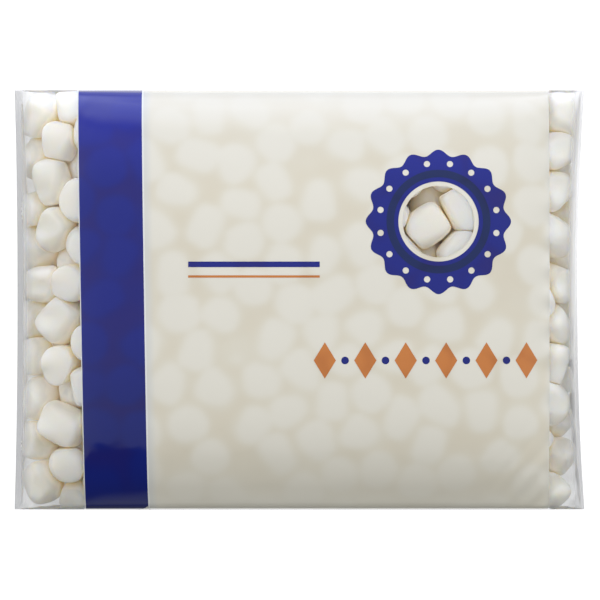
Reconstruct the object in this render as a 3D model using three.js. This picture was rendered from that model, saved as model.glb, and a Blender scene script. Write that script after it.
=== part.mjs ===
// A clear sealed pillow bag of mini marshmallows, lying on its back with its printed front up.
// Millimetres, +Z up. X runs along the film tube, from one end seal to the other, and Y across it.
// The origin is on the surface the bag lies on, under the middle of the bag.
//
// The bag is one closed piece: a tube of film, flattened and sealed across both ends, so it is one
// solid here, out to the outside of the film. Its section across the tube is a superellipse, which
// flattens to the thin end seals. The film stands on the marshmallows under it and sinks a little
// between them, and it gathers into short puckers beside each seal.
import * as THREE from 'three';

// Driving dimensions
const LENGTH = 228.4;        // along the tube, over the corners of the two end seals
const WIDTH = 167.8;         // across the tube
const FULL_HEIGHT = 53.4;    // thickness of the filled bag before it settles on its back
const SETTLE = 2.2;          // how far its own weight flattens the back
const SEAL_WIDTH_NEG_X = 2.2; // end seals, along the tube: most of the one at +X is turned under
const SEAL_WIDTH_POS_X = 1.0;
const SEAL_THICKNESS = 0.8;  // the two films of an end seal, with their crimp
const SEAL_DROOP = 7;        // how far an end seal hangs below the bag's middle plane
const BOW_NEG_X = 1.2;       // how far the middle of each end is drawn in past its corners
const BOW_POS_X = 2.8;
const BOW_POWER = 2.3;
const SECTION_POWER = 2.6;   // superellipse of the tube's section: 2 is an ellipse
const END_NEG_X = { power: 3.4, round: 0.49 };  // how the height falls towards the ends
const END_POS_X = { power: 4.4, round: 0.43 };
const MALLOW_D = 14;         // diameter of one mini marshmallow
const MALLOW_PITCH = 15.2;   // mean spacing of the ones that touch the film
const SINK = 0.8;            // how deep the film sinks between them
const PUCKER = 0.9;          // height of the gathers beside an end seal
const PUCKER_PITCH = 13;

// Resolution
const STATIONS = 54;         // steps along the tube
const AROUND = 72;           // points round the section, a multiple of 4

const halfLength = LENGTH / 2;
const halfWidth = WIDTH / 2;
const sealHalf = SEAL_THICKNESS / 2;
const middle = FULL_HEIGHT / 2 - SETTLE;   // height of the tube's middle plane

// Repeatable scatter: a number in 0..1 for a whole-numbered cell.
function scatter(i, j, k) {
  const s = Math.sin(i * 127.1 + j * 311.7 + k * 74.7) * 43758.5453;
  return s - Math.floor(s);
}

// 1 on the crown of a marshmallow under the film and 0 half way between them, from the
// nearest centre on a staggered grid whose points are shifted at random.
function crown(x, y, side) {
  const rowStep = MALLOW_PITCH * 0.87;
  const row = Math.round(y / rowStep);
  let best = Infinity;
  for (let r = row - 2; r <= row + 2; r++) {
    const shift = (r & 1) * 0.5;
    const col = Math.round(x / MALLOW_PITCH - shift);
    for (let c = col - 2; c <= col + 2; c++) {
      const cx = (c + shift + 0.5 * (scatter(c, r, side) - 0.5)) * MALLOW_PITCH;
      const cy = (r + 0.5 * (scatter(r, c, side + 5) - 0.5)) * rowStep;
      best = Math.min(best, Math.hypot(x - cx, y - cy));
    }
  }
  const t = Math.min(1, best / (MALLOW_D * 0.62));
  return 1 - t * t * (3 - 2 * t);
}

// Half the bag's height at a share t of the way from its middle (0) to the inner edge of a seal (1).
function halfHeight(t, end) {
  const { power, round } = end < 0 ? END_NEG_X : END_POS_X;
  const open = Math.pow(Math.max(0, 1 - Math.pow(t, power)), round);
  return sealHalf + (FULL_HEIGHT / 2 - sealHalf) * open;
}

function sealWidth(end) {
  return end < 0 ? SEAL_WIDTH_NEG_X : SEAL_WIDTH_POS_X;
}

// How far the end is drawn in at this height across the bag: most in the middle, none at its corners.
function drawnIn(y, end) {
  const bow = end < 0 ? BOW_NEG_X : BOW_POS_X;
  return bow * (1 - Math.pow(Math.abs(y) / halfWidth, BOW_POWER));
}

// One point of the film. s runs -1..1 along the tube, angle goes round the section from +Y over the top.
function filmPoint(s, angle) {
  const end = s < 0 ? -1 : 1;
  const c = Math.cos(angle), n = Math.sin(angle);
  const y = halfWidth * Math.sign(c) * Math.pow(Math.abs(c), 2 / SECTION_POWER);
  const reach = halfLength - drawnIn(y, end) * Math.pow(Math.abs(s), 3);
  const x = s * reach;
  const t = Math.min(1, Math.abs(x) / (reach - sealWidth(end)));
  const rise = Math.sign(n) * Math.pow(Math.abs(n), 2 / SECTION_POWER);
  const lift = halfHeight(t, end);
  const plane = middle - SEAL_DROOP * Math.pow(t, 4);
  let z = plane + rise * lift;
  const flatness = Math.pow(Math.abs(rise), 2);            // none at the tube's two sides
  const body = Math.min(1, Math.max(0, (1 - t) / 0.12));   // none at the seals
  z -= Math.sign(rise) * SINK * (1 - crown(x, y, rise > 0 ? 1 : 2)) * flatness * body;
  const gather = Math.exp(-Math.pow((t - 0.93) / 0.05, 2)) * Math.min(1, (1 - t) / 0.03);
  const phase = end > 0 ? 0.7 : 2.1;
  z += PUCKER * gather * Math.abs(rise) * Math.sin((2 * Math.PI * y) / PUCKER_PITCH + phase + 1.3 * Math.sin(y / 17));
  return [x, y, Math.max(0, z)];
}

// Stations along the tube: closer together towards the ends, with one at each edge of each seal.
function stations() {
  const list = [-1];
  for (let i = 0; i <= STATIONS; i++) {
    const u = (2 * i) / STATIONS - 1;
    const inner = 1 - sealWidth(u) / halfLength;
    list.push(inner * (0.35 * u + 0.65 * Math.sin((Math.PI / 2) * u)));
  }
  list.push(1);
  return list;
}

// Angles round the section that space its points about evenly along the curve.
function sectionAngles() {
  const quarter = AROUND / 4, fine = 400;
  const at = (a) => [
    halfWidth * Math.pow(Math.cos(a), 2 / SECTION_POWER),
    (FULL_HEIGHT / 2) * Math.pow(Math.sin(a), 2 / SECTION_POWER),
  ];
  const run = [0];
  for (let i = 1; i <= fine; i++) {
    const [y0, z0] = at(((i - 1) / fine) * (Math.PI / 2));
    const [y1, z1] = at((i / fine) * (Math.PI / 2));
    run.push(run[i - 1] + Math.hypot(y1 - y0, z1 - z0));
  }
  const first = [];
  for (let q = 0; q < quarter; q++) {
    const goal = (q / quarter) * run[fine];
    let k = 0;
    while (run[k + 1] < goal) k++;
    first.push(((k + (goal - run[k]) / (run[k + 1] - run[k] || 1)) / fine) * (Math.PI / 2));
  }
  const angles = [];
  for (const a of first) angles.push(a);
  angles.push(Math.PI / 2);
  for (let q = quarter - 1; q > 0; q--) angles.push(Math.PI - first[q]);
  const half = angles.length;                      // +Y side over the top, not yet at -Y
  for (let q = 0; q < half; q++) angles.push(Math.PI + angles[q]);
  return angles;
}

function bagGeometry() {
  const along = stations(), round = sectionAngles();
  const points = [], faces = [];
  const m = round.length;
  for (const s of along) for (const a of round) points.push(...filmPoint(s, a));
  const id = (i, j) => i * m + (((j % m) + m) % m);
  for (let i = 0; i + 1 < along.length; i++) {
    for (let j = 0; j < m; j++) {
      const a = id(i, j), b = id(i + 1, j), c = id(i + 1, j + 1), d = id(i, j + 1);
      faces.push(a, c, b, a, d, c);
    }
  }
  // Each end is closed by a thin strip between the upper and the lower film of its seal.
  const last = along.length - 1;
  for (let j = 0; j < m / 2; j++) {
    const up = j, upNext = j + 1, down = -j, downNext = -j - 1;
    if (j > 0) {
      faces.push(id(0, up), id(0, down), id(0, upNext));
      faces.push(id(last, up), id(last, upNext), id(last, down));
    }
    if (j + 1 < m / 2) {
      faces.push(id(0, upNext), id(0, down), id(0, downNext));
      faces.push(id(last, upNext), id(last, downNext), id(last, down));
    }
  }
  const geometry = new THREE.BufferGeometry();
  geometry.setAttribute('position', new THREE.Float32BufferAttribute(points, 3));
  geometry.setIndex(faces);
  geometry.computeVertexNormals();
  return geometry;
}

const clearFilm = new THREE.MeshStandardMaterial({
  color: 0xe6e4da, roughness: 0.22, metalness: 0, transparent: true, opacity: 0.6,
});

const bag = new THREE.Mesh(bagGeometry(), clearFilm);
bag.name = 'bag';

const marshmallowBag = new THREE.Group();
marshmallowBag.name = 'marshmallow_bag';
marshmallowBag.add(bag);

export default marshmallowBag;
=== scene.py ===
"""A clear sealed pillow bag of mini marshmallows, lying on its back with its printed front up.

The bag is one CAD solid. Here it becomes the loose marshmallows, the thin film that lies on them,
and the print on the film. Shapes are worked out in millimetres and stored in metres.
"""

import math

import bpy
import numpy as np
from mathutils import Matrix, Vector
from mathutils.bvhtree import BVHTree
from mathutils.geometry import delaunay_2d_cdt


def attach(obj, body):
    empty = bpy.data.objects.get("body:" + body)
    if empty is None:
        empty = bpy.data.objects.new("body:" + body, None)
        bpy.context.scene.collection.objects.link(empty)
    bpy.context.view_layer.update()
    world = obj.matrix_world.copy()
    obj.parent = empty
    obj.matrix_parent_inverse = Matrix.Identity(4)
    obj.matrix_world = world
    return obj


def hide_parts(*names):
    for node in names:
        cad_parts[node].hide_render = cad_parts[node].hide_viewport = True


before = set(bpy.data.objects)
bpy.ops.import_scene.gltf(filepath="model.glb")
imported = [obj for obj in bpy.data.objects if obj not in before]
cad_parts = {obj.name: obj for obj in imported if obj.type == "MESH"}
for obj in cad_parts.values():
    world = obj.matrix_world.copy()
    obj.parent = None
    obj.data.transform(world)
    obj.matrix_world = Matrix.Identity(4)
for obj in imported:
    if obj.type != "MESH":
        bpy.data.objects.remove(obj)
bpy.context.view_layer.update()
rng = np.random.default_rng(5)

# ---------------------------------------------------------------- sizes, mm, as the CAD solid has them
LENGTH, WIDTH, FULL_HEIGHT, SETTLE = 228.4, 167.8, 53.4, 2.2
SEAL_NEG_X, SEAL_POS_X, SEAL_THICKNESS, SEAL_DROOP = 2.2, 1.0, 0.8, 7.0
BOW_NEG_X, BOW_POS_X, BOW_POWER = 1.2, 2.8, 2.3
SECTION_POWER = 2.6
END_NEG_X, END_POS_X = (3.4, 0.49), (4.4, 0.43)  # how the height falls towards the ends
PUCKER, PUCKER_PITCH = 0.9, 13.0
HALF_L, HALF_W = LENGTH / 2, WIDTH / 2
SEAL_HALF = SEAL_THICKNESS / 2
MIDDLE = FULL_HEIGHT / 2 - SETTLE

# contents
COUNT = 424
MALLOW_R, MALLOW_H = 7.45, 8.3  # radius and half length of one marshmallow, before its neighbours press on it
END_PUSH, END_ROOM = 0.16, 0.5  # how hard they are worked into the two ends, and the room they keep there
FILM_GAP = 0.45  # from the film's smooth surface in to a marshmallow that it presses on
SINK_CLEAR, SINK_PRINT = 0.9, 0.25  # how deep the film hangs between them, bare and under the print
BACK_LIFT = 0.16  # the back of the film lies this high, on its lap seam

# print, in the front view: the stripe's edges lean a little
STRIPE_LEFT = (-88.2, -85.2)  # x at the +Y edge and at the -Y edge
STRIPE_RIGHT = (-62.8, -60.2)
PANEL_RIGHT = 99.4
WINDOW_AT, WINDOW_R = (55.0, 31.0), 14.2


def smoothstep(a, b, x):
    t = np.clip((x - a) / (b - a), 0, 1)
    return t * t * (3 - 2 * t)


# ---------------------------------------------------------------- the pillow
# v runs round the tube in millimetres along its middle section: 0 on the middle of the front,
# +QUARTER at the +Y side, and -2 QUARTER and +2 QUARTER both at the middle of the back.
_a = np.linspace(0, math.pi / 2, 4001)
_cy = HALF_W * np.cos(_a) ** (2 / SECTION_POWER)
_cz = FULL_HEIGHT / 2 * np.sin(_a) ** (2 / SECTION_POWER)
_run = np.concatenate([[0], np.cumsum(np.hypot(np.diff(_cy), np.diff(_cz)))])
QUARTER = float(_run[-1])


def angle_of(v):
    """Angle round the section, from +Y over the top."""
    v = np.asarray(v, float)
    front = np.abs(v) <= QUARTER
    from_side = np.where(front, QUARTER - np.abs(v), np.abs(v) - QUARTER)
    a = np.interp(from_side, _run, _a)
    a = np.where(front, a, -a)
    return np.where(v >= 0, a, math.pi - a)


def v_of_y(y):
    """v on the front at this y."""
    y = np.asarray(y, float)
    a = np.arccos(np.clip((np.abs(y) / HALF_W) ** (SECTION_POWER / 2), 0, 1))
    return np.sign(y) * (QUARTER - np.interp(a, _a, _run))


def drawn_in(y, end):
    bow = np.where(end < 0, BOW_NEG_X, BOW_POS_X)
    return bow * (1 - (np.abs(y) / HALF_W) ** BOW_POWER)


def half_height(t, end):
    power = np.where(end < 0, END_NEG_X[0], END_POS_X[0])
    rounding = np.where(end < 0, END_NEG_X[1], END_POS_X[1])
    return SEAL_HALF + (FULL_HEIGHT / 2 - SEAL_HALF) * np.maximum(0, 1 - t**power) ** rounding


def seal_inner(end):
    """|s| at the inner edge of the seal at this end."""
    return 1 - np.where(end < 0, SEAL_NEG_X, SEAL_POS_X) / HALF_L


def pillow(s, v):
    """The smooth pillow at s, -1 to 1 along the tube, and v round it. Last axis x, y, z."""
    a = angle_of(v)
    c, n = np.cos(a), np.sin(a)
    y = HALF_W * np.sign(c) * np.abs(c) ** (2 / SECTION_POWER)
    reach = HALF_L - drawn_in(y, s) * np.abs(s) ** 3
    x = s * reach
    t = np.minimum(1, np.abs(x) / (reach - np.where(s < 0, SEAL_NEG_X, SEAL_POS_X)))
    rise = np.sign(n) * np.abs(n) ** (2 / SECTION_POWER)
    z = MIDDLE - SEAL_DROOP * t**4 + rise * half_height(t, s)
    gather = np.exp(-(((t - 0.93) / 0.05) ** 2)) * np.minimum(1, (1 - t) / 0.03)
    phase = np.where(s > 0, 0.7, 2.1)
    z = z + PUCKER * gather * np.abs(rise) * np.sin(2 * math.pi * y / PUCKER_PITCH + phase + 1.3 * np.sin(y / 17))
    return np.stack(np.broadcast_arrays(x, y, np.maximum(0, z)), -1)


def s_of_x(x, v):
    """s where the pillow has this x."""
    a = angle_of(v)
    y = HALF_W * np.abs(np.cos(a)) ** (2 / SECTION_POWER)
    s = x / HALF_L
    for _ in range(6):
        s = x / (HALF_L - drawn_in(y, s) * np.abs(s) ** 3)
    return s


# ---------------------------------------------------------------- meshes
def mesh_object(name, points, faces, slot, material, **values):
    """A smooth mesh object from points in mm and rows of 3 or 4 corners, with point attributes."""
    me = bpy.data.meshes.new(name)
    rows = [np.asarray(f, np.int32) for f in (faces if isinstance(faces, list) else [faces]) if len(f)]
    corners = np.concatenate([r.ravel() for r in rows])
    sizes = np.concatenate([np.full(len(r), r.shape[1], np.int32) for r in rows])
    me.vertices.add(len(points))
    me.vertices.foreach_set("co", (np.asarray(points, float) * 0.001).astype(np.float32).ravel())
    me.loops.add(len(corners))
    me.loops.foreach_set("vertex_index", corners)
    me.polygons.add(len(sizes))
    me.polygons.foreach_set("loop_start", np.concatenate([[0], np.cumsum(sizes)[:-1]]).astype(np.int32))
    me.update(calc_edges=True)
    me.validate()
    me.shade_smooth()
    for key, value in values.items():
        me.attributes.new(key, "FLOAT", "POINT").data.foreach_set("value", np.asarray(value, np.float32))
    ob = bpy.data.objects.new(name, me)
    bpy.context.scene.collection.objects.link(ob)
    me.materials.append(material)
    ob.visible_shadow = slot == "marshmallow"  # light gets through the thin film and the print on it
    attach(ob, "root")
    return ob


def ring_faces(rows, around):
    """Quads of a closed tube of points, rows by around."""
    i, j = np.meshgrid(np.arange(rows - 1), np.arange(around), indexing="ij")
    k = (j + 1) % around
    return np.stack([i * around + j, (i + 1) * around + j, (i + 1) * around + k, i * around + k], -1).reshape(-1, 4)


def quads_to_tree(points, quads):
    return BVHTree.FromPolygons([tuple(p) for p in points], [tuple(int(k) for k in q) for q in quads])


# ---------------------------------------------------------------- distance to the pillow's surface
def distance_field():
    """Signed distance to the pillow, negative inside, on a grid, with its gradient."""
    u = np.linspace(-1, 1, 120)
    s = np.concatenate([[-1], seal_inner(u) * (0.35 * u + 0.65 * np.sin(u * math.pi / 2)), [1]])
    v = np.linspace(-2 * QUARTER, 2 * QUARTER, 161)[:-1]
    p = pillow(s[:, None], v[None, :]).reshape(-1, 3)
    quads = ring_faces(len(s), len(v))
    tree = quads_to_tree(p, quads)
    step = 2.6
    axes = [np.arange(lo, hi, step) for lo, hi in ((-122, 122), (-92, 92), (-8, 64))]
    shape = [len(a) for a in axes]
    out = np.empty(shape, np.float32)
    for i, x in enumerate(axes[0]):
        for j, y in enumerate(axes[1]):
            for k, z in enumerate(axes[2]):
                at, n, _, d = tree.find_nearest((x, y, z))
                side = (x - at[0]) * n[0] + (y - at[1]) * n[1] + (z - at[2]) * n[2]
                out[i, j, k] = d if side > 0 else -d
    # The winding may face either way: the middle of the bag is inside.
    mid = out[shape[0] // 2, shape[1] // 2, int((MIDDLE + 8) / step)]
    if mid > 0:
        out = -out
    return axes, step, out.astype(float), np.stack(np.gradient(out.astype(float), step), -1)


AXES, STEP, FIELD, SLOPE = distance_field()


def sample(p):
    """Signed distance and unit outward direction at points p."""
    low = np.array([a[0] for a in AXES])
    q = (p - low) / STEP
    q = np.clip(q, 0, np.array(FIELD.shape) - 1.001)
    i = q.astype(int)
    f = q - i
    d, g = 0.0, 0.0
    for dx in (0, 1):
        for dy in (0, 1):
            for dz in (0, 1):
                w = (f[:, 0] if dx else 1 - f[:, 0]) * (f[:, 1] if dy else 1 - f[:, 1]) * (f[:, 2] if dz else 1 - f[:, 2])
                at = (i[:, 0] + dx, i[:, 1] + dy, i[:, 2] + dz)
                d = d + w * FIELD[at]
                g = g + w[:, None] * SLOPE[at]
    return d, g / np.maximum(np.linalg.norm(g, axis=1, keepdims=True), 1e-6)


# ---------------------------------------------------------------- the marshmallows
def place_contents():
    """Centres of the marshmallows: as many as fit, pushed apart and off the film until they rest."""
    size = np.clip(rng.normal(1, 0.045, COUNT), 0.9, 1.1)
    reach = 8.0 * size
    wall = 6.3 * size
    low, high = np.array([-108, -80, 3]), np.array([108, 80, 52])
    centres = np.empty((0, 3))
    while len(centres) < COUNT:
        p = rng.uniform(low, high, (4000, 3))
        d, _ = sample(p)
        centres = np.concatenate([centres, p[d < -6.5]])
    centres = centres[:COUNT]
    for turn in range(460):
        # Handling works them into the two ends of the bag.
        if turn < 420:
            centres[:, 0] += END_PUSH * np.sign(centres[:, 0]) * smoothstep(60, 100, np.abs(centres[:, 0]))
        gap = centres[:, None, :] - centres[None, :, :]
        dist = np.sqrt((gap**2).sum(-1)) + 1e-9
        over = np.maximum(reach[:, None] + reach[None, :] - dist, 0)
        np.fill_diagonal(over, 0)
        push = (gap / dist[..., None] * over[..., None]).sum(1) * 0.3
        centres += np.clip(push, -3, 3)
        d, out = sample(centres)
        # The +X end is slack towards -Y.
        room = END_ROOM * smoothstep(88, 103, np.abs(centres[:, 0])) + 2.2 * smoothstep(94, 104, centres[:, 0]) * smoothstep(15, -45, centres[:, 1])
        centres -= out * np.maximum(d + wall + room, 0)[:, None]
    return centres, size


def cube_sphere(n):
    """Directions and quads of a cube with n by n squares a side, blown up to a sphere."""
    t = np.tan(np.linspace(-1, 1, n + 1) * math.pi / 4)
    a, b = np.meshgrid(t, t, indexing="ij")
    one = np.ones_like(a)
    points, quads, start = [], [], 0
    for axis in range(3):
        for sign in (-1, 1):
            p = np.empty(a.shape + (3,))
            p[..., axis] = sign * one
            p[..., (axis + 1) % 3] = a
            p[..., (axis + 2) % 3] = b
            points.append(p.reshape(-1, 3))
            i, j = np.meshgrid(np.arange(n), np.arange(n), indexing="ij")
            k = start + i * (n + 1) + j
            quad = np.stack([k, k + n + 1, k + n + 2, k + 1], -1).reshape(-1, 4)
            quads.append(quad if sign > 0 else quad[:, ::-1])
            start += (n + 1) ** 2
    p = np.concatenate(points)
    _, first, back = np.unique(np.round(p, 6), axis=0, return_index=True, return_inverse=True)
    p = p[first]
    return p / np.linalg.norm(p, axis=1, keepdims=True), back.ravel()[np.concatenate(quads)]


def frame_along(w):
    """Two directions square to each w, turned at random about it."""
    helper = np.where(np.abs(w[:, 2:3]) < 0.8, [[0, 0, 1]], [[1, 0, 0]])
    u = np.cross(w, helper)
    u /= np.linalg.norm(u, axis=1, keepdims=True)
    v = np.cross(w, u)
    turn = rng.uniform(0, 2 * math.pi, len(w))[:, None]
    return u * np.cos(turn) + v * np.sin(turn), v * np.cos(turn) - u * np.sin(turn)


def build_contents():
    centres, size = place_contents()
    depth, out = sample(centres)
    # How each one lies: on its side against the film, end on to it, or any way.
    axis = rng.normal(size=(COUNT, 3))
    kind = rng.random(COUNT)
    axis /= np.linalg.norm(axis, axis=1, keepdims=True)
    flat = axis - (axis * out).sum(1, keepdims=True) * out
    tilt = 0.22 * rng.normal(size=(COUNT, 3))
    axis = np.where((kind < 0.48)[:, None], flat / np.linalg.norm(flat, axis=1, keepdims=True) + tilt, axis)
    axis = np.where((kind > 0.74)[:, None], out + tilt, axis)
    axis /= np.linalg.norm(axis, axis=1, keepdims=True)
    u, v = frame_along(axis)

    in_clear = (centres[:, 0] < STRIPE_LEFT[1] + 6) | (centres[:, 0] > PANEL_RIGHT - 8)
    in_window = (np.hypot(centres[:, 0] - WINDOW_AT[0], centres[:, 1] - WINDOW_AT[1]) < WINDOW_R + 11) & (centres[:, 2] > 24)
    outer = depth > -11
    fine = (in_clear | in_window) & outer
    # The ones that show are as fine as the piece's triangles allow, and the buried ones are coarse.
    for n_fine in (12, 11, 10, 9, 8):
        if 12 * (fine.sum() * n_fine**2 + (outer & ~fine).sum() * 25 + (~outer & ~fine).sum() * 16) < 192000:
            break
    cuts = np.where(fine, n_fine, np.where(outer, 5, 4))
    patterns = {int(n): cube_sphere(int(n)) for n in set(cuts.tolist())}

    r = MALLOW_R * size * rng.uniform(0.965, 1.035, COUNT)
    h = MALLOW_H * size * rng.uniform(0.93, 1.12, COUNT)
    oval = rng.uniform(0.95, 1.05, COUNT)
    power = rng.uniform(3.7, 6.4, COUNT)
    taper = rng.normal(0, 0.035, COUNT)
    shear = rng.normal(0, 0.07, (COUNT, 2))
    waves = rng.normal(size=(COUNT, 4, 3)) * 2.1
    phases = rng.uniform(0, 2 * math.pi, (COUNT, 4))

    shapes = []
    for i in range(COUNT):
        dirs, _ = patterns[int(cuts[i])]
        a, b, w = dirs.T
        a1, b1 = a / (r[i] * oval[i]), b / (r[i] / oval[i])
        f = ((a1**2 + b1**2) ** (power[i] / 2) + np.abs(w / h[i]) ** power[i]) ** (-1 / power[i])
        lump = sum(np.sin(dirs @ waves[i, k] + phases[i, k]) for k in range(4)) * 0.0105
        f = f * (1 + lump)
        x, y, z = a * f, b * f, w * f
        grow = 1 + taper[i] * z / h[i] + 0.03 * (1 - (z / h[i]) ** 2)
        x, y = x * grow + shear[i, 0] * z, y * grow + shear[i, 1] * z
        shapes.append(x[:, None] * u[i] + y[:, None] * v[i] + z[:, None] * axis[i])

    # Neighbours press each other flat where they meet.
    gap = centres[None, :, :] - centres[:, None, :]
    dist = np.sqrt((gap**2).sum(-1))
    pressed = [s.copy() for s in shapes]
    for i in range(COUNT):
        for j in np.nonzero((dist[i] < 20.5) & (dist[i] > 0))[0]:
            n = gap[i, j] / dist[i, j]
            mine, other = (shapes[i] @ n).max(), (shapes[j] @ -n).max()
            if mine + other <= dist[i, j]:
                continue
            limit = mine - (mine + other - dist[i, j]) / 2 - 0.06
            t = pressed[i] @ n
            level = -np.logaddexp(-t / 0.42, -limit / 0.42) * 0.42
            level = np.where(t > limit - 3.0, level, t)
            pressed[i] += np.outer(np.minimum(level - t, 0), n)
    points, quads, owner, start = [], [], [], 0
    for i in range(COUNT):
        p = centres[i] + pressed[i]
        for _ in range(2):
            d, g = sample(p)
            over = d + FILM_GAP
            soft = np.logaddexp(over / 0.3, 0) * 0.3
            p = p - g * np.where(over > -1.6, soft, 0)[:, None] * 0.9
        q = patterns[int(cuts[i])][1]
        points.append(p)
        quads.append(q + start)
        owner.append(np.full(len(p), i))
        start += len(p)
    return np.concatenate(points), np.concatenate(quads), np.concatenate(owner), fine


def vertex_normals(points, quads):
    p = points[quads]
    n = np.cross(p[:, 2] - p[:, 0], p[:, 3] - p[:, 1])
    out = np.zeros_like(points)
    for k in range(4):
        np.add.at(out, quads[:, k], n)
    return out / np.maximum(np.linalg.norm(out, axis=1, keepdims=True), 1e-9)


def shut_in(points, normals, tree, fine_points):
    """How much of the open space over each point other marshmallows take up, 0 to 1."""
    golden = math.pi * (3 - math.sqrt(5))
    found = np.zeros(len(points))
    helper = np.where(np.abs(normals[:, 2:3]) < 0.8, [[0.0, 0, 1]], [[1.0, 0, 0]])
    u = np.cross(normals, helper)
    u /= np.linalg.norm(u, axis=1, keepdims=True)
    v = np.cross(normals, u)
    for wanted, rays in ((True, 14), (False, 5)):
        index = np.nonzero(fine_points == wanted)[0]
        for k in range(rays):
            rad, turn = math.sqrt((k + 0.5) / rays), k * golden
            x, y, z = rad * math.cos(turn), rad * math.sin(turn), math.sqrt(1 - rad * rad)
            dirs = u[index] * x + v[index] * y + normals[index] * z
            starts = points[index] + normals[index] * 0.15
            hits = np.fromiter(
                (tree.ray_cast(a, b, 17.0)[3] or 99.0 for a, b in zip(starts.tolist(), dirs.tolist())), float, len(index)
            )
            found[index] += np.clip(1.25 - hits / 14, 0, 1) / rays
    return found


def edge_x(pair, v):
    """x of a leaning edge of the stripe: its lean goes on evenly over the front and back again."""
    a = angle_of(v)
    c = np.cos(a)
    y = HALF_W * np.sign(c) * np.abs(c) ** (2 / SECTION_POWER)
    return pair[0] + (pair[1] - pair[0]) * (HALF_W - y) / WIDTH


def bareness(x, v):
    """1 where the film has no print on it, falling to 0 at the edge of the print."""
    left, right = edge_x(STRIPE_LEFT, v) - x, x - PANEL_RIGHT
    return np.maximum(smoothstep(0, 1.4, left), smoothstep(0, 1.4, right))


# ---------------------------------------------------------------- the film
NV = 344  # points round the tube, a multiple of 4
_u = np.linspace(-1, 1, 206)
S = np.concatenate([
    -np.linspace(float(seal_inner(-1)), 1, 10)[:0:-1],
    seal_inner(_u) * (0.5 * _u + 0.5 * np.sin(_u * math.pi / 2)),
    np.linspace(float(seal_inner(1)), 1, 5)[1:],
])
T = np.abs(S) / seal_inner(S)  # 1 at the inner edge of a seal
PAST = (np.abs(S) - seal_inner(S)) * HALF_L  # mm past it
V = -2 * QUARTER + 4 * QUARTER * np.arange(NV) / NV


def blur(a, sigma_s, sigma_v):
    """Gaussian blur of a grid, open along s and closed round v."""
    for axis, sigma in ((0, sigma_s), (1, sigma_v)):
        if sigma <= 0:
            continue
        k = int(3 * sigma) + 1
        w = np.exp(-0.5 * (np.arange(-k, k + 1) / sigma) ** 2)
        w /= w.sum()
        pad = [(0, 0), (0, 0)]
        pad[axis] = (k, k)
        b = np.pad(a, pad, mode="edge" if axis == 0 else "wrap")
        a = sum(w[m] * np.take(b, np.arange(m, m + a.shape[axis]), axis) for m in range(2 * k + 1))
    return a


def grid_normals(p):
    """Outward normals of the film grid."""
    ds = np.gradient(p, axis=0)
    dv = (np.roll(p, -1, 1) - np.roll(p, 1, 1)) / 2
    n = np.cross(ds, dv)
    n /= np.maximum(np.linalg.norm(n, axis=2, keepdims=True), 1e-9)
    mid = n[len(S) // 2, NV // 2]
    return n if mid[2] > 0 else -n


def ripples(s, v, seed, count, wavelength):
    """Smooth random ripples of about unit height."""
    g = np.random.default_rng(seed)
    x, out = s * HALF_L, 0
    for _ in range(count):
        turn = g.uniform(0, math.pi)
        k = 2 * math.pi / (wavelength * g.uniform(0.7, 1.5))
        out = out + np.sin(k * (x * math.cos(turn) + v * math.sin(turn)) + g.uniform(0, 2 * math.pi))
    return out / math.sqrt(count)


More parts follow.
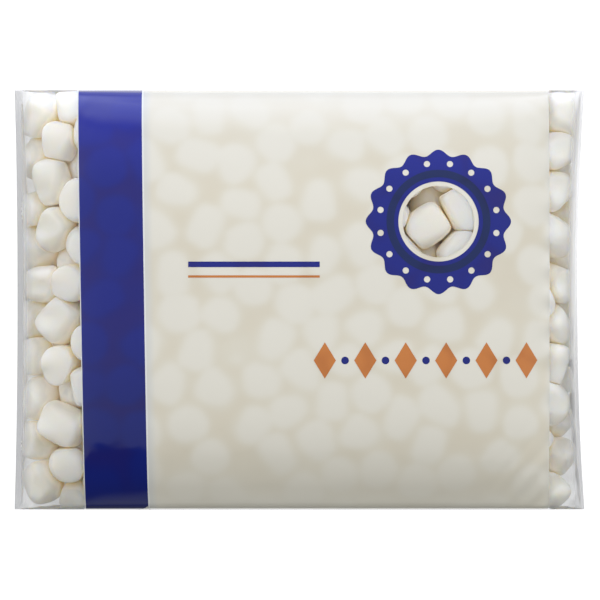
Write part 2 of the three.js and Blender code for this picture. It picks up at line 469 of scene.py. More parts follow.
def build_film(tree):
    """The film grid, lying on the marshmallows, and how far they are below it."""
    s, v = S[:, None], V[None, :]
    base = pillow(s, v)
    n = grid_normals(base)
    flat, up = base.reshape(-1, 3), n.reshape(-1, 3)
    below = np.fromiter(
        (tree.ray_cast(a, b, 16.0)[3] or 16.0 for a, b in zip((flat + up * 0.4).tolist(), (-up).tolist())), float, len(flat)
    ).reshape(base.shape[:2])
    below = np.maximum(below - 0.4, 0)
    near = np.fromiter((tree.find_nearest(a, 16.0)[3] or 16.0 for a in flat.tolist()), float, len(flat)).reshape(base.shape[:2])
    t = T[:, None] * np.ones_like(v)
    free = smoothstep(1, 0.95, t) * smoothstep(3, 16, np.abs(np.abs(v) - QUARTER))
    bare = bareness(base[..., 0], v)
    hang = (SINK_PRINT + (SINK_CLEAR - SINK_PRINT) * bare) * smoothstep(0.5, 4.5, below)
    hang = blur(hang, 2.0, 2.0)
    hang = np.minimum(hang, np.maximum(below - 0.16, 0))
    hang = np.minimum(blur(hang, 1.2, 1.2) * free, np.maximum(below - 0.26, 0))
    # It is drawn smoother under the print, which lies close below it.
    hang = blur(hang, 0.9, 0.9) * bare + blur(hang, 2.6, 2.6) * (1 - bare)
    wrinkle = 0.09 * ripples(s, v, 3, 9, 9.0) * smoothstep(0.5, 4, blur(below, 1, 1)) * free * (0.25 + 0.75 * bare)
    p = base - n * np.clip(hang + np.maximum(wrinkle, -0.05), -0.05, 1.6)[..., None]
    # Low gathers run slantwise out of the two corners at the -Y side, and shorter ones out of the others.
    y, x = base[..., 1], base[..., 0]
    for cx, cy, size, turn in ((HALF_L, -HALF_W, 30, 0.85), (-HALF_L, -HALF_W, 22, 2.2), (HALF_L, HALF_W, 16, -0.8), (-HALF_L, HALF_W, 20, -2.3)):
        near_corner = np.exp(-(((x - cx) / size) ** 2 + ((y - cy) / size) ** 2)) * smoothstep(1, 0.97, t)
        across = -(x - cx) * math.sin(turn) + (y - cy) * math.cos(turn)
        inner = smoothstep(1, 12, np.abs(np.abs(v) - QUARTER))
        p = p + n * (0.26 * near_corner * np.sin(across / 0.95 + 0.9 * np.sin((x - y) / 9)) * inner)[..., None]
    # Fine ribs run along each end seal, pressed unevenly.
    into = np.clip(PAST / np.where(S < 0, SEAL_NEG_X, SEAL_POS_X), 0, 1)[:, None]
    press = 0.75 + 0.35 * np.sin(v / 3.1 + np.sin(v / 7.7)) * np.sin(v / 1.9 + 1.3)
    p = p - n * (np.where(s < 0, 0.07, 0.02) * press * np.sin(math.pi * into * 2.5) ** 2 * (into > 0))[..., None]
    p[..., 2] = np.maximum(p[..., 2], BACK_LIFT)
    return p, grid_normals(p), below, near


def film_faces():
    faces = [ring_faces(len(S), NV)]
    k = np.arange(NV // 4, 3 * NV // 4)
    low, low_next = (NV // 2 - k) % NV, (NV // 2 - k - 1) % NV
    last = (len(S) - 1) * NV
    ends = []
    for start, turned in ((0, True), (last, False)):
        q = np.stack([start + k, start + low, start + low_next, start + k + 1], -1)
        ends.append(q[:, ::-1] if turned else q)
    q = np.concatenate(ends)
    same = (q[:, 0] == q[:, 1]) | (q[:, 2] == q[:, 3])
    tris = []
    for a, b, c, d in q[same]:
        corner = []
        for m in (a, b, c, d):
            if m not in corner:
                corner.append(m)
        if len(corner) == 3:
            tris.append(corner)
    return [faces[0], q[~same], np.array(tris, int).reshape(-1, 3)]


class Film:
    """Looks up the film's place, normal and other numbers at any x and v."""

    def __init__(self, p, n, **fields):
        self.p, self.n, self.fields = p, n, fields

    def spot(self, x, v):
        s = s_of_x(x, v)
        i = np.clip(np.interp(s, S, np.arange(len(S))), 0, len(S) - 1.001)
        j = ((v + 2 * QUARTER) / (4 * QUARTER) * NV) % NV
        i0, j0 = i.astype(int), j.astype(int) % NV
        j1 = (j0 + 1) % NV
        fi, fj = i - i0, j - j.astype(int)
        return [(i0, j0, (1 - fi) * (1 - fj)), (i0 + 1, j0, fi * (1 - fj)), (i0, j1, (1 - fi) * fj), (i0 + 1, j1, fi * fj)]

    def look(self, name, x, v):
        a = self.fields[name]
        return sum(w * a[i, j] for i, j, w in self.spot(x, v))

    def place(self, x, v, inward):
        """Points this far inside the film, at exactly this x."""
        at_x = np.array(x, float)
        for _ in range(5):
            at = self.spot(at_x, v)
            p = sum(w[:, None] * self.p[i, j] for i, j, w in at)
            n = sum(w[:, None] * self.n[i, j] for i, j, w in at)
            n /= np.maximum(np.linalg.norm(n, axis=1, keepdims=True), 1e-9)
            p = p - n * inward
            at_x = at_x + (x - p[:, 0])
        return p


# ---------------------------------------------------------------- flat shapes for the print
def circle(at, r, step=0.8, scallops=0, depth=0.0):
    n = max(24, int(2 * math.pi * r / step))
    a = np.linspace(0, 2 * math.pi, n, endpoint=False)
    rad = r * (1 + depth * np.cos(scallops * a)) if scallops else np.full(n, r)
    return np.stack([at[0] + rad * np.cos(a), at[1] + rad * np.sin(a)], 1)


def dense(corners, step=1.0):
    """A closed outline with points every step along its sides."""
    corners = np.asarray(corners, float)
    out = []
    for a, b in zip(corners, np.roll(corners, -1, 0)):
        n = max(1, int(round(np.hypot(*(b - a)) / step)))
        out.append(a + (b - a) * (np.arange(n) / n)[:, None])
    return np.concatenate(out)


def inside(p, loops):
    """True for points inside an odd number of closed outlines."""
    hit = np.zeros(len(p), bool)
    for loop in loops:
        for a, b in zip(loop, np.roll(loop, -1, 0)):
            if a[1] == b[1]:
                continue
            cross = ((a[1] > p[:, 1]) != (b[1] > p[:, 1])) & (
                p[:, 0] < (b[0] - a[0]) * (p[:, 1] - a[1]) / (b[1] - a[1]) + a[0]
            )
            hit ^= cross
    return hit


def fill(loops, step=1.2, extra=None):
    """Triangles that fill the area inside an odd number of the outlines."""
    edge = np.concatenate(loops)
    low, high = edge.min(0), edge.max(0)
    if extra is None:
        gx, gy = np.meshgrid(np.arange(low[0] + step / 2, high[0], step), np.arange(low[1] + step / 2, high[1], step))
        extra = np.stack([gx.ravel(), gy.ravel()], 1)
        extra[:, 0] += (np.round(extra[:, 1] / step).astype(int) % 2) * step / 2
    extra = extra[inside(extra, loops)]
    if len(extra):
        far = np.ones(len(extra), bool)
        for chunk in np.array_split(edge, max(1, len(edge) // 200)):
            far &= (np.hypot(extra[:, None, 0] - chunk[None, :, 0], extra[:, None, 1] - chunk[None, :, 1]) > step * 0.45).all(1)
        extra = extra[far]
    points = np.concatenate([edge, extra])
    edges, start = [], 0
    for loop in loops:
        n = len(loop)
        edges += [(start + k, start + (k + 1) % n) for k in range(n)]
        start += n
    found = delaunay_2d_cdt([Vector(p) for p in points], edges, [], 0, 1e-5)
    p = np.array([tuple(q) for q in found[0]])
    tri = np.array([tuple(f) for f in found[2] if len(f) == 3])
    middle = p[tri].mean(1)
    tri = tri[inside(middle, loops)]
    a, b, c = p[tri[:, 0]], p[tri[:, 1]], p[tri[:, 2]]
    turn = (b[:, 0] - a[:, 0]) * (c[:, 1] - a[:, 1]) - (b[:, 1] - a[:, 1]) * (c[:, 0] - a[:, 0])
    tri[turn < 0] = tri[turn < 0][:, ::-1]
    return p, tri[np.abs(turn) > 1e-4]


# ---------------------------------------------------------------- materials
def material(name):
    m = bpy.data.materials.new(name)
    m.use_nodes = True
    nt = m.node_tree
    nt.nodes.clear()
    out = nt.nodes.new("ShaderNodeOutputMaterial")
    return m, nt, out


def node(nt, kind, **sockets):
    n = nt.nodes.new(kind)
    for key, value in sockets.items():
        key = key.replace("_", " ")
        target = n.inputs[key] if key in n.inputs else n.inputs[int(key[1:])]
        if isinstance(value, bpy.types.NodeSocket):
            nt.links.new(value, target)
        else:
            target.default_value = value
    return n


def attribute(nt, name):
    n = nt.nodes.new("ShaderNodeAttribute")
    n.attribute_name = name
    return n.outputs["Fac"]


def mix_colour(nt, fac, a, b, blend="MIX"):
    n = nt.nodes.new("ShaderNodeMix")
    n.data_type = "RGBA"
    n.blend_type = blend
    for key, value in (("Factor_Float", fac), ("A_Color", a), ("B_Color", b)):
        target = next(i for i in n.inputs if i.identifier == key)
        if isinstance(value, bpy.types.NodeSocket):
            nt.links.new(value, target)
        else:
            target.default_value = value
    return next(o for o in n.outputs if o.identifier == "Result_Color")


def ramp(nt, fac, low, high, out_low=0.0, out_high=1.0, smooth=True):
    n = nt.nodes.new("ShaderNodeMapRange")
    n.interpolation_type = "SMOOTHSTEP" if smooth else "LINEAR"
    nt.links.new(fac, n.inputs[0])
    for k, value in enumerate((low, high, out_low, out_high), 1):
        n.inputs[k].default_value = value
    return n.outputs[0]


def maths(nt, what, a, b=None, c=None):
    n = nt.nodes.new("ShaderNodeMath")
    n.operation = what
    for socket, value in zip(n.inputs, (a, b, c)):
        if isinstance(value, bpy.types.NodeSocket):
            nt.links.new(value, socket)
        elif value is not None:
            socket.default_value = value
    return n.outputs[0]


def split_xyz(nt, vector):
    n = nt.nodes.new("ShaderNodeSeparateXYZ")
    nt.links.new(vector, n.inputs[0])
    return n.outputs


def noise(nt, scale, detail=2.0, rough=0.5):
    at = nt.nodes.new("ShaderNodeTexCoord").outputs["Object"]
    n = node(nt, "ShaderNodeTexNoise", Scale=scale, Detail=detail, Roughness=rough, Vector=at)
    return n.outputs[0]


def marshmallow_material():
    m, nt, out = material("marshmallow")
    # Painted light: where other marshmallows shut a point in, it is painted lighter and warmer, standing in for light
    # scattered through them into the gaps.
    pale, painted_gap_glow, painted_deep_gap = (0.735, 0.722, 0.675, 1), (0.90, 0.855, 0.755, 1), (0.95, 0.86, 0.64, 1)
    gap = attribute(nt, "shut")
    colour = mix_colour(nt, ramp(nt, gap, 0.22, 0.56), pale, painted_gap_glow)
    colour = mix_colour(nt, ramp(nt, gap, 0.60, 0.95), colour, painted_deep_gap)
    colour = mix_colour(nt, ramp(nt, noise(nt, 90, 3), 0.35, 0.7, 0, 0.10), colour, (0.80, 0.795, 0.77, 1))
    bump = node(nt, "ShaderNodeBump", Strength=0.22, Distance=0.0003, Height=noise(nt, 900, 4, 0.6))
    p = node(nt, "ShaderNodeBsdfPrincipled", Base_Color=colour, Roughness=0.85, Normal=bump.outputs[0])
    p.inputs["Specular IOR Level"].default_value = 0.12
    p.inputs["Subsurface Weight"].default_value = 1.0
    p.inputs["Subsurface Radius"].default_value = (1.0, 0.80, 0.52)
    p.inputs["Subsurface Scale"].default_value = 0.0140
    nt.links.new(p.outputs[0], out.inputs[0])
    return m


def film_gloss(nt, more):
    """The film's gloss and how much of it there is: more of it at a slant, times the factor given."""
    bump = node(nt, "ShaderNodeBump", Strength=0.2, Distance=0.0004, Height=noise(nt, 45, 1))
    gloss = node(nt, "ShaderNodeBsdfGlossy", Color=(1, 1, 1, 1), Roughness=0.07, Normal=bump.outputs[0])
    fresnel = node(nt, "ShaderNodeFresnel", IOR=1.32)
    slant = nt.nodes.new("ShaderNodeLayerWeight")
    slant.inputs[0].default_value = 0.5
    slantwise = maths(nt, "MULTIPLY", maths(nt, "POWER", slant.outputs["Facing"], 1.6), 0.22)
    return gloss.outputs[0], maths(nt, "MULTIPLY_ADD", slantwise, more, fresnel.outputs[0])


def film_material():
    m, nt, out = material("clear_film")
    clear = node(nt, "ShaderNodeBsdfTransparent", Color=(0.985, 0.988, 0.986, 1))
    haze = node(nt, "ShaderNodeBsdfDiffuse", Color=attribute(nt, "tone"))
    gloss, amount = film_gloss(nt, attribute(nt, "shine"))
    # Over the print the ink carries the gloss.
    amount = maths(nt, "MULTIPLY", amount, attribute(nt, "coat"))
    veil = node(nt, "ShaderNodeMixShader", _0=attribute(nt, "veil"), _1=clear.outputs[0], _2=haze.outputs[0])
    both = node(nt, "ShaderNodeMixShader", _0=amount, _1=veil.outputs[0], _2=gloss)
    nt.links.new(both.outputs[0], out.inputs[0])
    return m


def ink_material(name, painted_contact_light, gap, painted_deep_gap, through, at_fold, bottom_light_shade_steps, thin=None, line=None):
    """Ink on the film, with painted light and shade: painted brightest where a marshmallow touches the film behind it,
    and darker over the hollows between them.
    """
    m, nt, out = material(name)
    touch = attribute(nt, "touch")
    hollow = attribute(nt, "hollow")
    colour = mix_colour(nt, hollow, gap, painted_deep_gap)
    colour = mix_colour(nt, touch, colour, painted_contact_light)
    colour = mix_colour(nt, ramp(nt, noise(nt, 38, 2), 0.3, 0.7, 0, 0.12), colour, painted_contact_light)
    if thin:
        colour = mix_colour(nt, attribute(nt, "thin"), colour, thin)
        colour = mix_colour(nt, attribute(nt, "line"), colour, line)
    # Painted light and shade towards the +Y fold and in steps towards -Y.
    colour = mix_colour(nt, attribute(nt, "fold"), colour, at_fold, "MULTIPLY")
    for start, end, tone in bottom_light_shade_steps:
        colour = mix_colour(nt, ramp(nt, attribute(nt, "down"), start, end), colour, tone, "MULTIPLY")
    front = node(nt, "ShaderNodeBsdfDiffuse", Color=colour, Roughness=0.0)
    back = node(nt, "ShaderNodeBsdfTranslucent", Color=colour)
    both = node(nt, "ShaderNodeMixShader", _0=through, _1=front.outputs[0], _2=back.outputs[0])
    gloss, amount = film_gloss(nt, 1.0)
    outside = maths(nt, "SUBTRACT", 1.0, nt.nodes.new("ShaderNodeNewGeometry").outputs["Backfacing"])
    glossy = node(nt, "ShaderNodeMixShader", _0=maths(nt, "MULTIPLY", amount, outside), _1=both.outputs[0], _2=gloss)
    nt.links.new(glossy.outputs[0], out.inputs[0])
    return m


# ---------------------------------------------------------------- building
points, quads, owner, fine = build_contents()
normals = vertex_normals(points, quads)
tree = quads_to_tree(points, quads)
shut = shut_in(points, normals, tree, fine[owner])

film_p, film_n, below, near = build_film(tree)
# Where marshmallows press on the film the print is painted pale, as painted light for light the ink lets through to
# them and back; over the hollows between them it is painted darker, as painted shade. It shows least near the +Y and
# -Y sides.
side_on = smoothstep(QUARTER - 8, QUARTER - 42, np.abs(V))[None, :] * (np.abs(V) < QUARTER)[None, :] + (np.abs(V) >= QUARTER)[None, :]
touch = blur(1 - smoothstep(0.7, 1.8, near), 0.7, 0.7)
touch = 0.55 + (touch - 0.55) * (0.22 + 0.78 * side_on)
hollow = blur(smoothstep(2.0, 9.0, below), 1.3, 1.3) * (0.3 + 0.7 * side_on)
# The film is a little milky where it is bare: least on the marshmallows, most in the seals and at the back.
bare = bareness(film_p[..., 0], V[None, :])
in_seal = smoothstep(-1.0, 0.4, PAST)[:, None]
at_back = smoothstep(QUARTER - 6, QUARTER + 6, np.abs(V))[None, :]
by_seal = np.exp(-(((1 - np.abs(S)) * HALF_L / 7) ** 2))[:, None]
veil = bare * (0.005 + 0.03 * by_seal + 0.10 * blur(smoothstep(2.5, 9.0, below), 0.8, 0.8) + 0.16 * at_back)
veil = veil * (1 - in_seal) + 0.60 * in_seal * (S < 0)[:, None]
# Past the last marshmallows the +X end is two slack films on each other, greyer towards -Y.
from_end = (1 - S)[:, None] * HALF_L + 0 * V[None, :]
slack = smoothstep(9, 3, from_end) * smoothstep(1.0, 3.5, blur(near, 1, 1)) * (np.abs(V) < QUARTER)[None, :]
slack = np.maximum(slack, in_seal * (S > 0)[:, None])
veil = np.maximum(veil, slack * (0.22 + 0.20 * smoothstep(30, -60, film_p[..., 1])))
front = (np.abs(V) < QUARTER)[None, :]
veil = np.maximum(veil, 0.66 * smoothstep(6.0, 2.0, from_end) * front)
from_low_end = (1 + S)[:, None] * HALF_L + 0 * V[None, :]
veil = np.maximum(veil, 0.42 * smoothstep(7.5, 2.6, from_low_end) * front)
# The milkiness is a grey, painted lighter and darker by place as painted light and shade: paler in the middle of both
# ends, painted shade at the +X end's foot towards -Y and a little at its +Y edge, and deeper in the -X seal, paler
# there towards +Y.
across = film_p[..., 1]
tone = np.full(film_p.shape[:2], 0.565)
tone = tone + 0.24 * smoothstep(11, 7.5, from_low_end) * smoothstep(-75, -30, across) * smoothstep(80, 50, across)
high = 0.52 + 0.36 * smoothstep(-50, 25, across) - 0.16 * smoothstep(45, 75, across)
tone = tone + smoothstep(8, 3, from_end) * (high - tone)
tone = tone + (smoothstep(-1.0, 0.4, PAST) * (S < 0))[:, None] * (0.49 + 0.06 * smoothstep(0, 80, across) - tone)
shine = 1 - 0.6 * bare
at_window = np.hypot(film_p[..., 0] - WINDOW_AT[0], V[None, :] - float(v_of_y(WINDOW_AT[1])))
coat = np.maximum(bare, smoothstep(WINDOW_R + 0.6, WINDOW_R - 0.6, at_window))
film = Film(film_p, film_n, touch=touch, hollow=hollow)

mallow_mat = marshmallow_material()
film_mat = film_material()
# Each ink has a painted light colour where marshmallows touch behind it and painted shade colours over the gaps and
# deep hollows, then painted tints towards +Y and -Y.
blue_mat = ink_material(
    "print_blue", (0.0060, 0.0128, 0.180, 1), (0.0066, 0.0110, 0.157, 1), (0.0104, 0.0100, 0.137, 1), 0.05, (1.0, 1.0, 1.36, 1), [(0.0, 0.66, (0.93, 0.96, 0.75, 1))],
)
white_mat = ink_material(
    "print_white", (0.650, 0.626, 0.551, 1), (0.610, 0.577, 0.481, 1), (0.589, 0.543, 0.437, 1), 0.05, (0.94, 0.945, 0.955, 1),
    [(0.50, 0.75, (0.94, 0.94, 0.94, 1)), (0.80, 0.97, (1.36, 1.36, 1.35, 1))], (0.546, 0.554, 0.533, 1), (0.686, 0.690, 0.677, 1),
)
caramel_mat = ink_material("print_caramel", (0.494, 0.173, 0.044, 1), (0.453, 0.153, 0.0385, 1), (0.404, 0.136, 0.035, 1), 0.05, (1, 1, 1, 1), [])
navy_mat = ink_material("print_navy", (0.0040, 0.0146, 0.0825, 1), (0.0034, 0.0106, 0.066, 1), (0.0034, 0.0080, 0.056, 1), 0.05, (1, 1, 1, 1), [])

mallows = mesh_object("marshmallows", points, quads, "marshmallow", mallow_mat, shut=shut)
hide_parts("bag")

film_ob = mesh_object("film", film_p.reshape(-1, 3), film_faces(), "clear_film", film_mat, veil=veil.ravel(), shine=shine.ravel(), coat=coat.ravel(), tone=tone.ravel())
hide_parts("bag")


def wrapped(left, right, columns, rows):
    """x and v of a grid that goes once round the tube, open at the middle of the back."""
    v = np.linspace(-2 * QUARTER, 2 * QUARTER, rows)
    u = np.linspace(0, 1, columns)
    a, b = left(v), right(v)
    x = a[:, None] + (b - a)[:, None] * u[None, :]
    return x, np.repeat(v[:, None], columns, 1)


def grid_quads(rows, columns):
    i, j = np.meshgrid(np.arange(rows - 1), np.arange(columns - 1), indexing="ij")
    k = i * columns + j
    return np.stack([k, k + 1, k + columns + 1, k + columns], -1).reshape(-1, 4)


def print_piece(name, x, v, faces, inward, slot, mat, line=0.0):
    # The white ink is thin beside the stripe and along its rim at +X.
    past_stripe = x - edge_x(STRIPE_RIGHT, v)
    thin = 0.75 * smoothstep(4.4, 1.2, past_stripe) * (past_stripe > 0) + 0.4 * smoothstep(PANEL_RIGHT - 1.6, PANEL_RIGHT - 0.5, x)
    # Painted light and shade by where light falls: the blue is painted lighter and the white a little darker towards
    # the fold at +Y; towards -Y both are painted darker, and the white is painted lighter again near the -Y side.
    fold = smoothstep(QUARTER - 58, QUARTER - 14, v) * smoothstep(QUARTER + 60, QUARTER + 10, v)
    down = np.clip((10 - v) / (10 + QUARTER), 0, 1) * smoothstep(-QUARTER - 60, -QUARTER - 10, v)
    return mesh_object(
        name, film.place(x, v, inward), faces, slot, mat,
        touch=film.look("touch", x, v), hollow=film.look("hollow", x, v), thin=thin, fold=fold, down=down, line=np.full(len(x), line),
    )


x, v = wrapped(lambda v: edge_x(STRIPE_LEFT, v), lambda v: edge_x(STRIPE_RIGHT, v), 24, NV + 1)
print_piece("blue_stripe", x.ravel(), v.ravel(), grid_quads(*x.shape), 0.08, "print_blue", blue_mat)

# White ink under the stripe shows as a pale line along its two edges.
x, v = wrapped(lambda v: edge_x(STRIPE_LEFT, v) - 0.35, lambda v: edge_x(STRIPE_LEFT, v) + 0.9, 3, NV + 1)
print_piece("underprint_left", x.ravel(), v.ravel(), grid_quads(*x.shape), 0.16, "print_white", white_mat, 1.0)
x, v = wrapped(lambda v: edge_x(STRIPE_RIGHT, v) - 0.9, lambda v: edge_x(STRIPE_RIGHT, v) + 0.6, 3, NV + 1)
print_piece("underprint_right", x.ravel(), v.ravel(), grid_quads(*x.shape), 0.15, "print_white", white_mat, 1.0)

# The milky panel: a grid with a patch cut out round its window and filled again by triangles.
rows, columns = NV + 1, 142
x, v = wrapped(lambda v: edge_x(STRIPE_RIGHT, v) + 0.45, lambda v: np.full_like(v, PANEL_RIGHT), columns, rows)
window_v = float(v_of_y(WINDOW_AT[1]))
window = circle((WINDOW_AT[0], window_v), WINDOW_R, 0.7)
keep_row = np.abs(v[:, 0] - window_v) < WINDOW_R + 3.2
keep_col = np.abs(x[rows // 2] - WINDOW_AT[0]) < WINDOW_R + 3.2
r0, r1 = np.nonzero(keep_row)[0][[0, -1]]
c0, c1 = np.nonzero(keep_col)[0][[0, -1]]
all_quads = grid_quads(rows, columns)
qi, qj = np.divmod(all_quads[:, 0], columns)
patch = (qi >= r0) & (qi < r1) & (qj >= c0) & (qj < c1)
ids = np.arange(rows * columns).reshape(rows, columns)
rim = np.concatenate([ids[r0, c0:c1], ids[r0:r1, c1], ids[r1, c1:c0:-1], ids[r1:r0:-1, c0]])
flat = np.stack([x.ravel(), v.ravel()], 1)
middle = flat[ids[r0 + 1 : r1, c0 + 1 : c1].ravel()]
tri_p, tri = fill([flat[rim], window], 1.1, middle)
base = len(flat)
back = {}
for k, q in enumerate(tri_p):
    d = np.hypot(*(flat[rim] - q).T)
    if d.min() < 1e-4:
        back[k] = int(rim[d.argmin()])
remap = np.array([back.get(k, base + k) for k in range(len(tri_p))])
xy = np.concatenate([flat, tri_p])
faces_q, faces_t = all_quads[~patch], remap[tri]
used = np.unique(np.concatenate([faces_q.ravel(), faces_t.ravel()]))
new = np.full(len(xy), -1)
new[used] = np.arange(len(used))
panel = print_piece("milky_panel", xy[used, 0], xy[used, 1], [new[faces_q], new[faces_t]], 0.18, "print_white", white_mat)


def drawn(name, loops, inward, slot, mat, step=1.2):
    p, t = fill(loops, step)
    return print_piece(name, p[:, 0], p[:, 1], t, inward, slot, mat)


def joined(name, shapes, inward, slot, mat, step=1.2):
    ps, ts, start = [], [], 0
    for loops in shapes:
        p, t = fill(loops, step)
        ps.append(p)
        ts.append(t + start)
        start += len(p)
    p = np.concatenate(ps)
    return print_piece(name, p[:, 0], p[:, 1], np.concatenate(ts), inward, slot, mat)


# A plain scalloped medallion round the window, with a ring of dots left white in it.
at = (WINDOW_AT[0], window_v)
dots = [circle((at[0] + 23.4 * math.cos(a), at[1] + 23.4 * math.sin(a)), 1.25, 0.4) for a in np.linspace(0, 2 * math.pi, 16, endpoint=False) + math.pi / 16]
drawn("medallion", [circle(at, 27.6, 0.8, 16, 0.045), circle(at, WINDOW_R + 1.7, 0.7)] + dots, 0.08, "print_blue", blue_mat, 0.9)
drawn("medallion_ring", [circle(at, 20.6, 0.7), circle(at, WINDOW_R + 3.4, 0.7)], 0.03, "print_navy", navy_mat, 0.9)

# A row of caramel lozenges with small blue dots between them.
row_v = float(v_of_y(-24.0))
lozenges, beads = [], []
for k in range(6):
    cx = 10.0 + 16.0 * k
    lozenges.append([dense([(cx - 4.4, row_v), (cx, row_v - 7.2), (cx + 4.4, row_v), (cx, row_v + 7.2)], 0.9)])
    if k < 5:
        beads.append([circle((cx + 8.0, row_v), 1.5, 0.45)])
joined("lozenges", lozenges, 0.07, "print_caramel", caramel_mat, 0.9)
joined("beads", beads, 0.07, "print_blue", blue_mat, 0.7)

# Two plain rules.
rule_v = float(v_of_y(14.0))
joined("rule_blue", [[dense([(-44, rule_v - 1.1), (8, rule_v - 1.1), (8, rule_v + 1.1), (-44, rule_v + 1.1)], 0.8)]], 0.06, "print_blue", blue_mat, 0.7)
rule_v = float(v_of_y(9.2))
joined("rule_caramel", [[dense([(-44, rule_v - 0.45), (8, rule_v - 0.45), (8, rule_v + 0.45), (-44, rule_v + 0.45)], 0.7)]], 0.06, "print_caramel", caramel_mat, 0.7)

# From the -Y edge on, white covers the stripe's rim as far as the lap seam, and a sliver of it shows.
low_v, seam_v = -QUARTER - 1.0, -2 * QUARTER + 0.5
over_rim = [(-66.0, low_v), (-67.3, seam_v), (-60.6, seam_v), (-59.3, low_v), (-60.3, float(v_of_y(-82.3)))]
drawn("stripe_sliver", [dense(over_rim, 0.6)], 0.05, "print_white", white_mat, 0.9)

# The tube's lap seam: a second layer of film along the middle of the back.
inside_seals = np.nonzero(T < 0.999)[0]
across = NV / 2 + np.linspace(-5, 5, 9) / (4 * QUARTER) * NV + NV / 2  # in columns of the film grid
low, share = across.astype(int) % NV, (across - across.astype(int))[None, :, None]
seam_at = film_p[inside_seals][:, low] * (1 - share) + film_p[inside_seals][:, (low + 1) % NV] * share
seam_n = film_n[inside_seals][:, low]
rows, columns = len(inside_seals), 9
sheet = grid_quads(rows, columns)
edge = np.concatenate([
    np.arange(columns), np.arange(2 * columns - 1, rows * columns, columns),
    np.arange(rows * columns - 2, (rows - 1) * columns - 1, -1), np.arange((rows - 2) * columns, 0, -columns),
])
walls = np.stack([edge, np.roll(edge, -1), np.roll(edge, -1) + rows * columns, edge + rows * columns], 1)
seam_p = np.concatenate([(seam_at + seam_n * 0.13).reshape(-1, 3), (seam_at + seam_n * 0.05).reshape(-1, 3)])
mesh_object(
    "lap_seam", seam_p, [sheet[:, ::-1], sheet + rows * columns, walls], "clear_film", film_mat,
    veil=np.full(len(seam_p), 0.16), shine=np.full(len(seam_p), 0.4), coat=np.ones(len(seam_p)),
    tone=np.full(len(seam_p), 0.565),
)

# ---------------------------------------------------------------- stage
bpy.ops.mesh.primitive_plane_add(size=8, location=(0, 0, -0.0003))
floor = bpy.context.object
floor.name = "floor"
m, nt, out = material("pale_floor")
lit = node(nt, "ShaderNodeBsdfDiffuse", Color=(0.45, 0.45, 0.45, 1))
# The floor has a painted shadow under the bag, as far as its outline is seen against it from above, painted lighter
# under the +X end and along the +Y edge, where the bag lifts off it.
spot = split_xyz(nt, nt.nodes.new("ShaderNodeTexCoord").outputs["Object"])
across = maths(nt, "DIVIDE", maths(nt, "ABSOLUTE", spot[1]), 0.0848)
bow = maths(nt, "MULTIPLY_ADD", maths(nt, "SIGN", spot[0]), 0.0008, 0.0020)
drawn_back = maths(nt, "MULTIPLY", bow, maths(nt, "SUBTRACT", 1.0, maths(nt, "POWER", across, 2.3)))
along = maths(nt, "DIVIDE", maths(nt, "ADD", maths(nt, "ABSOLUTE", spot[0]), drawn_back), 0.1151)
far = maths(nt, "MAXIMUM", across, along)
at_end = maths(nt, "MULTIPLY", ramp(nt, spot[0], 0.088, 0.100, 0.0, 0.24), ramp(nt, spot[1], -0.035, 0.015, 0.15, 1.0))
painted_light_where_lifted = maths(nt, "MAXIMUM", at_end, ramp(nt, spot[1], 0.070, 0.080, 0.0, 0.24))
rim = maths(nt, "MULTIPLY", painted_light_where_lifted, ramp(nt, far, 0.997, 1.003, 1.0, 0.0))
glow = node(nt, "ShaderNodeEmission", Color=(1, 1, 1, 1), Strength=maths(nt, "ADD", rim, ramp(nt, far, 0.997, 1.003, 0.40, 0.85)))
both = node(nt, "ShaderNodeAddShader", _0=lit.outputs[0], _1=glow.outputs[0])
nt.links.new(both.outputs[0], out.inputs[0])
floor.data.materials.append(m)
floor.visible_diffuse = False
floor.visible_glossy = False

world = bpy.data.worlds.new("studio")
bpy.context.scene.world = world
world.use_nodes = True
wt = world.node_tree
wt.nodes.clear()
wo = wt.nodes.new("ShaderNodeOutputWorld")
toward = split_xyz(wt, wt.nodes.new("ShaderNodeTexCoord").outputs["Generated"])
across = toward[1]
lean = maths(wt, "MULTIPLY_ADD", maths(wt, "MINIMUM", maths(wt, "MAXIMUM", toward[0], -0.6), 0.0), 0.25, 0.0825)
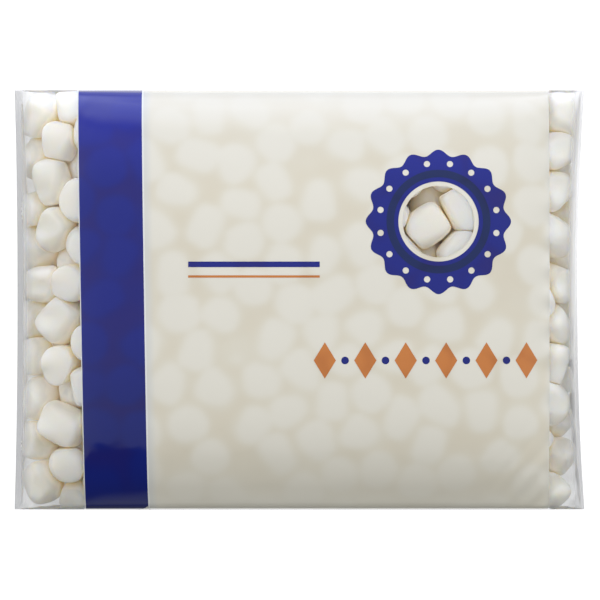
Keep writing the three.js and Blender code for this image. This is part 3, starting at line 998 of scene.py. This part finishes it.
# A broad soft source overhead, which ends 28 degrees past the top, and a bright wall low on the +Y side.
side = ramp(wt, maths(wt, "ADD", across, lean), -0.461, -0.431)
strength = maths(wt, "ADD", ramp(wt, across, -0.45, 0.1, 1.0, 1.27, False), ramp(wt, across, 0.1, 0.5, 0.0, 0.30))
strength = maths(wt, "ADD", strength, ramp(wt, across, 0.50, 0.62, 0.0, -0.25))
strength = maths(wt, "ADD", strength, ramp(wt, across, 0.60, 0.80, 0.0, 1.50))
strength = maths(wt, "ADD", strength, ramp(wt, across, 0.96, 1.00, 0.0, -1.00))
under = maths(wt, "ADD", ramp(wt, toward[2], -0.32, 0.0, 0.32, 1.0), ramp(wt, toward[2], -0.80, -0.62, 0.55, 0.0))
strength = maths(wt, "MULTIPLY", strength, under)
tint = mix_colour(wt, ramp(wt, across, 0.70, 0.83), (1, 1, 1, 1), (0.90, 0.95, 1.16, 1))
sky = node(wt, "ShaderNodeBackground", Color=tint, Strength=strength)
rays = wt.nodes.new("ShaderNodeLightPath").outputs
fill = maths(wt, "MULTIPLY", maths(wt, "SUBTRACT", 1.0, rays["Is Glossy Ray"]), ramp(wt, across, -0.88, -1.0, 0.09, 0.45))
low = maths(wt, "ADD", ramp(wt, across, -0.88, -1.0, 0.10, 0.42), fill)
dim = node(wt, "ShaderNodeBackground", Color=(0.96, 0.98, 1.0, 1), Strength=low)
mixed = node(wt, "ShaderNodeMixShader", _0=side, _1=dim.outputs[0], _2=sky.outputs[0])
plain = node(wt, "ShaderNodeBackground", Color=(1, 1, 1, 1), Strength=1.0)
shown = node(wt, "ShaderNodeMixShader", _0=rays["Is Camera Ray"], _1=mixed.outputs[0], _2=plain.outputs[0])
wt.links.new(shown.outputs[0], wo.inputs[0])

camera = bpy.data.cameras.new("camera")
height = 2.4
camera.sensor_width = 36
camera.lens = 36 * (height - 0.022) / 0.240
camera.clip_end = 20
view = bpy.data.objects.new("camera", camera)
view.location = (0.0002, -0.0001, height)
bpy.context.scene.collection.objects.link(view)
bpy.context.scene.camera = view

scene = bpy.context.scene
scene.view_settings.view_transform = "Standard"
scene.view_settings.look = "None"
scene.cycles.max_bounces = 32
scene.cycles.diffuse_bounces = 24
scene.cycles.transparent_max_bounces = 16
